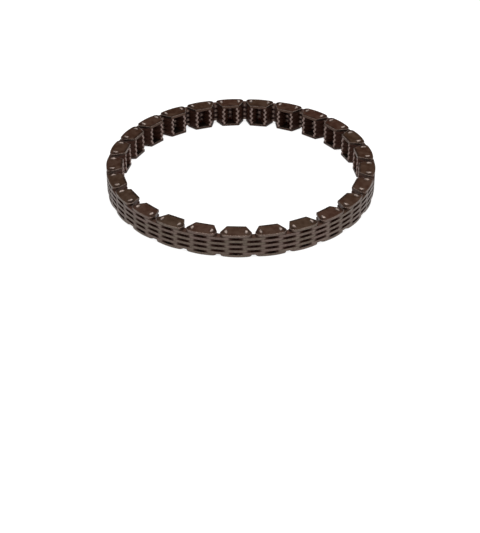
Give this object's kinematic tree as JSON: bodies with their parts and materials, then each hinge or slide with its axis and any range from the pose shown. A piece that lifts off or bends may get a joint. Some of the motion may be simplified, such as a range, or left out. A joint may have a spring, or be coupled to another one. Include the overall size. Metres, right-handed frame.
{
  "type": "timing chain",
  "caption": "Endless silent timing chain of toothed link plates on rocker joints, with guide plates on both sides, lying as a round loop.",
  "frame": {"origin": "centre of the loop, at the level of the lower pin ends, on which the chain lies", "axes": "+Z along the pins, up; the first guide link is at -Y; the teeth point to the Z axis"},
  "size_m": [0.212, 0.2122, 0.0199],
  "materials": {
    "oxide_steel": "dark oxide, satin, oily",
    "pin_steel": "hardened and ground, ends worn bright"
  },
  "bodies": {
    "link_01": {"guide_plate_top": "oxide_steel", "guide_plate_bottom": "oxide_steel", "long_pin_left": "pin_steel", "long_pin_right": "pin_steel", "guide_link_tooth_plate_1": "oxide_steel", "guide_link_tooth_plate_2": "oxide_steel", "guide_link_tooth_plate_3": "oxide_steel"},
    "link_02": {"tooth_link_plates": "oxide_steel", "rocker_left": "pin_steel", "rocker_right": "pin_steel"},
    "link_03": {"guide_link_03": "oxide_steel"},
    "link_04": {"tooth_link_04": "oxide_steel"},
    "link_05": {"guide_link_05": "oxide_steel"},
    "link_06": {"tooth_link_06": "oxide_steel"},
    "link_07": {"guide_link_07": "oxide_steel"},
    "link_08": {"tooth_link_08": "oxide_steel"},
    "link_09": {"guide_link_09": "oxide_steel"},
    "link_10": {"tooth_link_10": "oxide_steel"},
    "link_11": {"guide_link_11": "oxide_steel"},
    "link_12": {"tooth_link_12": "oxide_steel"},
    "link_13": {"guide_link_13": "oxide_steel"},
    "link_14": {"tooth_link_14": "oxide_steel"},
    "link_15": {"guide_link_15": "oxide_steel"},
    "link_16": {"tooth_link_16": "oxide_steel"},
    "link_17": {"guide_link_17": "oxide_steel"},
    "link_18": {"tooth_link_18": "oxide_steel"},
    "link_19": {"guide_link_19": "oxide_steel"},
    "link_20": {"tooth_link_20": "oxide_steel"},
    "link_21": {"guide_link_21": "oxide_steel"},
    "link_22": {"tooth_link_22": "oxide_steel"},
    "link_23": {"guide_link_23": "oxide_steel"},
    "link_24": {"tooth_link_24": "oxide_steel"},
    "link_25": {"guide_link_25": "oxide_steel"},
    "link_26": {"tooth_link_26": "oxide_steel"},
    "link_27": {"guide_link_27": "oxide_steel"},
    "link_28": {"tooth_link_28": "oxide_steel"},
    "link_29": {"guide_link_29": "oxide_steel"},
    "link_30": {"tooth_link_30": "oxide_steel"},
    "link_31": {"guide_link_31": "oxide_steel"},
    "link_32": {"tooth_link_32": "oxide_steel"},
    "link_33": {"guide_link_33": "oxide_steel"},
    "link_34": {"tooth_link_34": "oxide_steel"},
    "link_35": {"guide_link_35": "oxide_steel"},
    "link_36": {"tooth_link_36": "oxide_steel"},
    "link_37": {"guide_link_37": "oxide_steel"},
    "link_38": {"tooth_link_38": "oxide_steel"},
    "link_39": {"guide_link_39": "oxide_steel"},
    "link_40": {"tooth_link_40": "oxide_steel"},
    "link_41": {"guide_link_41": "oxide_steel"},
    "link_42": {"tooth_link_42": "oxide_steel"},
    "link_43": {"guide_link_43": "oxide_steel"},
    "link_44": {"tooth_link_44": "oxide_steel"},
    "link_45": {"guide_link_45": "oxide_steel"},
    "link_46": {"tooth_link_46": "oxide_steel"},
    "link_47": {"guide_link_47": "oxide_steel"},
    "link_48": {"tooth_link_48": "oxide_steel"},
    "link_49": {"guide_link_49": "oxide_steel"},
    "link_50": {"tooth_link_50": "oxide_steel"}
  },
  "joints": [
    {"name": "joint_01", "type": "hinge", "parent": "link_01", "child": "link_02", "pos_m": [0.00635, -0.10093, 0], "axis": [0, 0, 1], "range_deg": [-7.2, 7.8]},
    {"name": "joint_02", "type": "hinge", "parent": "link_02", "child": "link_03", "pos_m": [0.01895, -0.09934, 0], "axis": [0, 0, 1], "range_deg": [-7.2, 7.8]},
    {"name": "joint_03", "type": "hinge", "parent": "link_03", "child": "link_04", "pos_m": [0.03125, -0.09618, 0], "axis": [0, 0, 1], "range_deg": [-7.2, 7.8]},
    {"name": "joint_04", "type": "hinge", "parent": "link_04", "child": "link_05", "pos_m": [0.04306, -0.09151, 0], "axis": [0, 0, 1], "range_deg": [-7.2, 7.8]},
    {"name": "joint_05", "type": "hinge", "parent": "link_05", "child": "link_06", "pos_m": [0.05419, -0.08539, 0], "axis": [0, 0, 1], "range_deg": [-7.2, 7.8]},
    {"name": "joint_06", "type": "hinge", "parent": "link_06", "child": "link_07", "pos_m": [0.06446, -0.07792, 0], "axis": [0, 0, 1], "range_deg": [-7.2, 7.8]},
    {"name": "joint_07", "type": "hinge", "parent": "link_07", "child": "link_08", "pos_m": [0.07372, -0.06923, 0], "axis": [0, 0, 1], "range_deg": [-7.2, 6.65]},
    {"name": "joint_08", "type": "hinge", "parent": "link_08", "child": "link_09", "pos_m": [0.08182, -0.05944, 0], "axis": [0, 0, 1], "range_deg": [-7.2, 6.65]},
    {"name": "joint_09", "type": "hinge", "parent": "link_09", "child": "link_10", "pos_m": [0.08862, -0.04872, 0], "axis": [0, 0, 1], "range_deg": [-7.2, 6.65]},
    {"name": "joint_10", "type": "hinge", "parent": "link_10", "child": "link_11", "pos_m": [0.09403, -0.03723, 0], "axis": [0, 0, 1], "range_deg": [-7.2, 6.65]},
    {"name": "joint_11", "type": "hinge", "parent": "link_11", "child": "link_12", "pos_m": [0.09795, -0.02515, 0], "axis": [0, 0, 1], "range_deg": [-7.2, 6.65]},
    {"name": "joint_12", "type": "hinge", "parent": "link_12", "child": "link_13", "pos_m": [0.10033, -0.01267, 0], "axis": [0, 0, 1], "range_deg": [-7.2, 6.65]},
    {"name": "joint_13", "type": "hinge", "parent": "link_13", "child": "link_14", "pos_m": [0.10113, 0, 0], "axis": [0, 0, 1], "range_deg": [-7.2, 6.65]},
    {"name": "joint_14", "type": "hinge", "parent": "link_14", "child": "link_15", "pos_m": [0.10033, 0.01267, 0], "axis": [0, 0, 1], "range_deg": [-7.2, 6.65]},
    {"name": "joint_15", "type": "hinge", "parent": "link_15", "child": "link_16", "pos_m": [0.09795, 0.02515, 0], "axis": [0, 0, 1], "range_deg": [-7.2, 6.65]},
    {"name": "joint_16", "type": "hinge", "parent": "link_16", "child": "link_17", "pos_m": [0.09403, 0.03723, 0], "axis": [0, 0, 1], "range_deg": [-7.2, 6.65]},
    {"name": "joint_17", "type": "hinge", "parent": "link_17", "child": "link_18", "pos_m": [0.08862, 0.04872, 0], "axis": [0, 0, 1], "range_deg": [-7.2, 6.65]},
    {"name": "joint_18", "type": "hinge", "parent": "link_18", "child": "link_19", "pos_m": [0.08182, 0.05944, 0], "axis": [0, 0, 1], "range_deg": [-7.2, 6.65]},
    {"name": "joint_19", "type": "hinge", "parent": "link_19", "child": "link_20", "pos_m": [0.07372, 0.06923, 0], "axis": [0, 0, 1], "range_deg": [-7.2, 6.65]},
    {"name": "joint_20", "type": "hinge", "parent": "link_20", "child": "link_21", "pos_m": [0.06446, 0.07792, 0], "axis": [0, 0, 1], "range_deg": [-7.2, 7.8]},
    {"name": "joint_21", "type": "hinge", "parent": "link_21", "child": "link_22", "pos_m": [0.05419, 0.08539, 0], "axis": [0, 0, 1], "range_deg": [-7.2, 7.8]},
    {"name": "joint_22", "type": "hinge", "parent": "link_22", "child": "link_23", "pos_m": [0.04306, 0.09151, 0], "axis": [0, 0, 1], "range_deg": [-7.2, 7.8]},
    {"name": "joint_23", "type": "hinge", "parent": "link_23", "child": "link_24", "pos_m": [0.03125, 0.09618, 0], "axis": [0, 0, 1], "range_deg": [-7.2, 7.8]},
    {"name": "joint_24", "type": "hinge", "parent": "link_24", "child": "link_25", "pos_m": [0.01895, 0.09934, 0], "axis": [0, 0, 1], "range_deg": [-7.2, 7.8]},
    {"name": "joint_25", "type": "hinge", "parent": "link_25", "child": "link_26", "pos_m": [0.00635, 0.10093, 0], "axis": [0, 0, 1], "range_deg": [-7.2, 7.8]},
    {"name": "joint_50", "type": "hinge", "parent": "link_01", "child": "link_50", "pos_m": [-0.00635, -0.10093, 0], "axis": [0, 0, 1], "range_deg": [-7.8, 7.2]},
    {"name": "joint_49", "type": "hinge", "parent": "link_50", "child": "link_49", "pos_m": [-0.01895, -0.09934, 0], "axis": [0, 0, 1], "range_deg": [-7.8, 7.2]},
    {"name": "joint_48", "type": "hinge", "parent": "link_49", "child": "link_48", "pos_m": [-0.03125, -0.09618, 0], "axis": [0, 0, 1], "range_deg": [-7.8, 7.2]},
    {"name": "joint_47", "type": "hinge", "parent": "link_48", "child": "link_47", "pos_m": [-0.04306, -0.09151, 0], "axis": [0, 0, 1], "range_deg": [-7.8, 7.2]},
    {"name": "joint_46", "type": "hinge", "parent": "link_47", "child": "link_46", "pos_m": [-0.05419, -0.08539, 0], "axis": [0, 0, 1], "range_deg": [-7.8, 7.2]},
    {"name": "joint_45", "type": "hinge", "parent": "link_46", "child": "link_45", "pos_m": [-0.06446, -0.07792, 0], "axis": [0, 0, 1], "range_deg": [-7.8, 7.2]},
    {"name": "joint_44", "type": "hinge", "parent": "link_45", "child": "link_44", "pos_m": [-0.07372, -0.06923, 0], "axis": [0, 0, 1], "range_deg": [-6.65, 7.2]},
    {"name": "joint_43", "type": "hinge", "parent": "link_44", "child": "link_43", "pos_m": [-0.08182, -0.05944, 0], "axis": [0, 0, 1], "range_deg": [-6.65, 7.2]},
    {"name": "joint_42", "type": "hinge", "parent": "link_43", "child": "link_42", "pos_m": [-0.08862, -0.04872, 0], "axis": [0, 0, 1], "range_deg": [-6.65, 7.2]},
    {"name": "joint_41", "type": "hinge", "parent": "link_42", "child": "link_41", "pos_m": [-0.09403, -0.03723, 0], "axis": [0, 0, 1], "range_deg": [-6.65, 7.2]},
    {"name": "joint_40", "type": "hinge", "parent": "link_41", "child": "link_40", "pos_m": [-0.09795, -0.02515, 0], "axis": [0, 0, 1], "range_deg": [-6.65, 7.2]},
    {"name": "joint_39", "type": "hinge", "parent": "link_40", "child": "link_39", "pos_m": [-0.10033, -0.01267, 0], "axis": [0, 0, 1], "range_deg": [-6.65, 7.2]},
    {"name": "joint_38", "type": "hinge", "parent": "link_39", "child": "link_38", "pos_m": [-0.10113, 0, 0], "axis": [0, 0, 1], "range_deg": [-6.65, 7.2]},
    {"name": "joint_37", "type": "hinge", "parent": "link_38", "child": "link_37", "pos_m": [-0.10033, 0.01267, 0], "axis": [0, 0, 1], "range_deg": [-6.65, 7.2]},
    {"name": "joint_36", "type": "hinge", "parent": "link_37", "child": "link_36", "pos_m": [-0.09795, 0.02515, 0], "axis": [0, 0, 1], "range_deg": [-6.65, 7.2]},
    {"name": "joint_35", "type": "hinge", "parent": "link_36", "child": "link_35", "pos_m": [-0.09403, 0.03723, 0], "axis": [0, 0, 1], "range_deg": [-6.65, 7.2]},
    {"name": "joint_34", "type": "hinge", "parent": "link_35", "child": "link_34", "pos_m": [-0.08862, 0.04872, 0], "axis": [0, 0, 1], "range_deg": [-6.65, 7.2]},
    {"name": "joint_33", "type": "hinge", "parent": "link_34", "child": "link_33", "pos_m": [-0.08182, 0.05944, 0], "axis": [0, 0, 1], "range_deg": [-6.65, 7.2]},
    {"name": "joint_32", "type": "hinge", "parent": "link_33", "child": "link_32", "pos_m": [-0.07372, 0.06923, 0], "axis": [0, 0, 1], "range_deg": [-6.65, 7.2]},
    {"name": "joint_31", "type": "hinge", "parent": "link_32", "child": "link_31", "pos_m": [-0.06446, 0.07792, 0], "axis": [0, 0, 1], "range_deg": [-7.8, 7.2]},
    {"name": "joint_30", "type": "hinge", "parent": "link_31", "child": "link_30", "pos_m": [-0.05419, 0.08539, 0], "axis": [0, 0, 1], "range_deg": [-7.8, 7.2]},
    {"name": "joint_29", "type": "hinge", "parent": "link_30", "child": "link_29", "pos_m": [-0.04306, 0.09151, 0], "axis": [0, 0, 1], "range_deg": [-7.8, 7.2]},
    {"name": "joint_28", "type": "hinge", "parent": "link_29", "child": "link_28", "pos_m": [-0.03125, 0.09618, 0], "axis": [0, 0, 1], "range_deg": [-7.8, 7.2]},
    {"name": "joint_27", "type": "hinge", "parent": "link_28", "child": "link_27", "pos_m": [-0.01895, 0.09934, 0], "axis": [0, 0, 1], "range_deg": [-7.8, 7.2]}
  ],
  "couplings": [
    {"joint": "joint_02", "follows": "joint_01", "ratio": 1},
    {"joint": "joint_03", "follows": "joint_01", "ratio": 1},
    {"joint": "joint_04", "follows": "joint_01", "ratio": 1},
    {"joint": "joint_05", "follows": "joint_01", "ratio": 1},
    {"joint": "joint_06", "follows": "joint_01", "ratio": 1},
    {"joint": "joint_07", "follows": "joint_01", "ratio": -0.92308},
    {"joint": "joint_08", "follows": "joint_01", "ratio": -0.92308},
    {"joint": "joint_09", "follows": "joint_01", "ratio": -0.92308},
    {"joint": "joint_10", "follows": "joint_01", "ratio": -0.92308},
    {"joint": "joint_11", "follows": "joint_01", "ratio": -0.92308},
    {"joint": "joint_12", "follows": "joint_01", "ratio": -0.92308},
    {"joint": "joint_13", "follows": "joint_01", "ratio": -0.92308},
    {"joint": "joint_14", "follows": "joint_01", "ratio": -0.92308},
    {"joint": "joint_15", "follows": "joint_01", "ratio": -0.92308},
    {"joint": "joint_16", "follows": "joint_01", "ratio": -0.92308},
    {"joint": "joint_17", "follows": "joint_01", "ratio": -0.92308},
    {"joint": "joint_18", "follows": "joint_01", "ratio": -0.92308},
    {"joint": "joint_19", "follows": "joint_01", "ratio": -0.92308},
    {"joint": "joint_20", "follows": "joint_01", "ratio": 1},
    {"joint": "joint_21", "follows": "joint_01", "ratio": 1},
    {"joint": "joint_22", "follows": "joint_01", "ratio": 1},
    {"joint": "joint_23", "follows": "joint_01", "ratio": 1},
    {"joint": "joint_24", "follows": "joint_01", "ratio": 1},
    {"joint": "joint_25", "follows": "joint_01", "ratio": 1},
    {"joint": "joint_50", "follows": "joint_01", "ratio": -1},
    {"joint": "joint_49", "follows": "joint_01", "ratio": -1},
    {"joint": "joint_48", "follows": "joint_01", "ratio": -1},
    {"joint": "joint_47", "follows": "joint_01", "ratio": -1},
    {"joint": "joint_46", "follows": "joint_01", "ratio": -1},
    {"joint": "joint_45", "follows": "joint_01", "ratio": -1},
    {"joint": "joint_44", "follows": "joint_01", "ratio": 0.92308},
    {"joint": "joint_43", "follows": "joint_01", "ratio": 0.92308},
    {"joint": "joint_42", "follows": "joint_01", "ratio": 0.92308},
    {"joint": "joint_41", "follows": "joint_01", "ratio": 0.92308},
    {"joint": "joint_40", "follows": "joint_01", "ratio": 0.92308},
    {"joint": "joint_39", "follows": "joint_01", "ratio": 0.92308},
    {"joint": "joint_38", "follows": "joint_01", "ratio": 0.92308},
    {"joint": "joint_37", "follows": "joint_01", "ratio": 0.92308},
    {"joint": "joint_36", "follows": "joint_01", "ratio": 0.92308},
    {"joint": "joint_35", "follows": "joint_01", "ratio": 0.92308},
    {"joint": "joint_34", "follows": "joint_01", "ratio": 0.92308},
    {"joint": "joint_33", "follows": "joint_01", "ratio": 0.92308},
    {"joint": "joint_32", "follows": "joint_01", "ratio": 0.92308},
    {"joint": "joint_31", "follows": "joint_01", "ratio": -1},
    {"joint": "joint_30", "follows": "joint_01", "ratio": -1},
    {"joint": "joint_29", "follows": "joint_01", "ratio": -1},
    {"joint": "joint_28", "follows": "joint_01", "ratio": -1},
    {"joint": "joint_27", "follows": "joint_01", "ratio": -1}
  ]
}
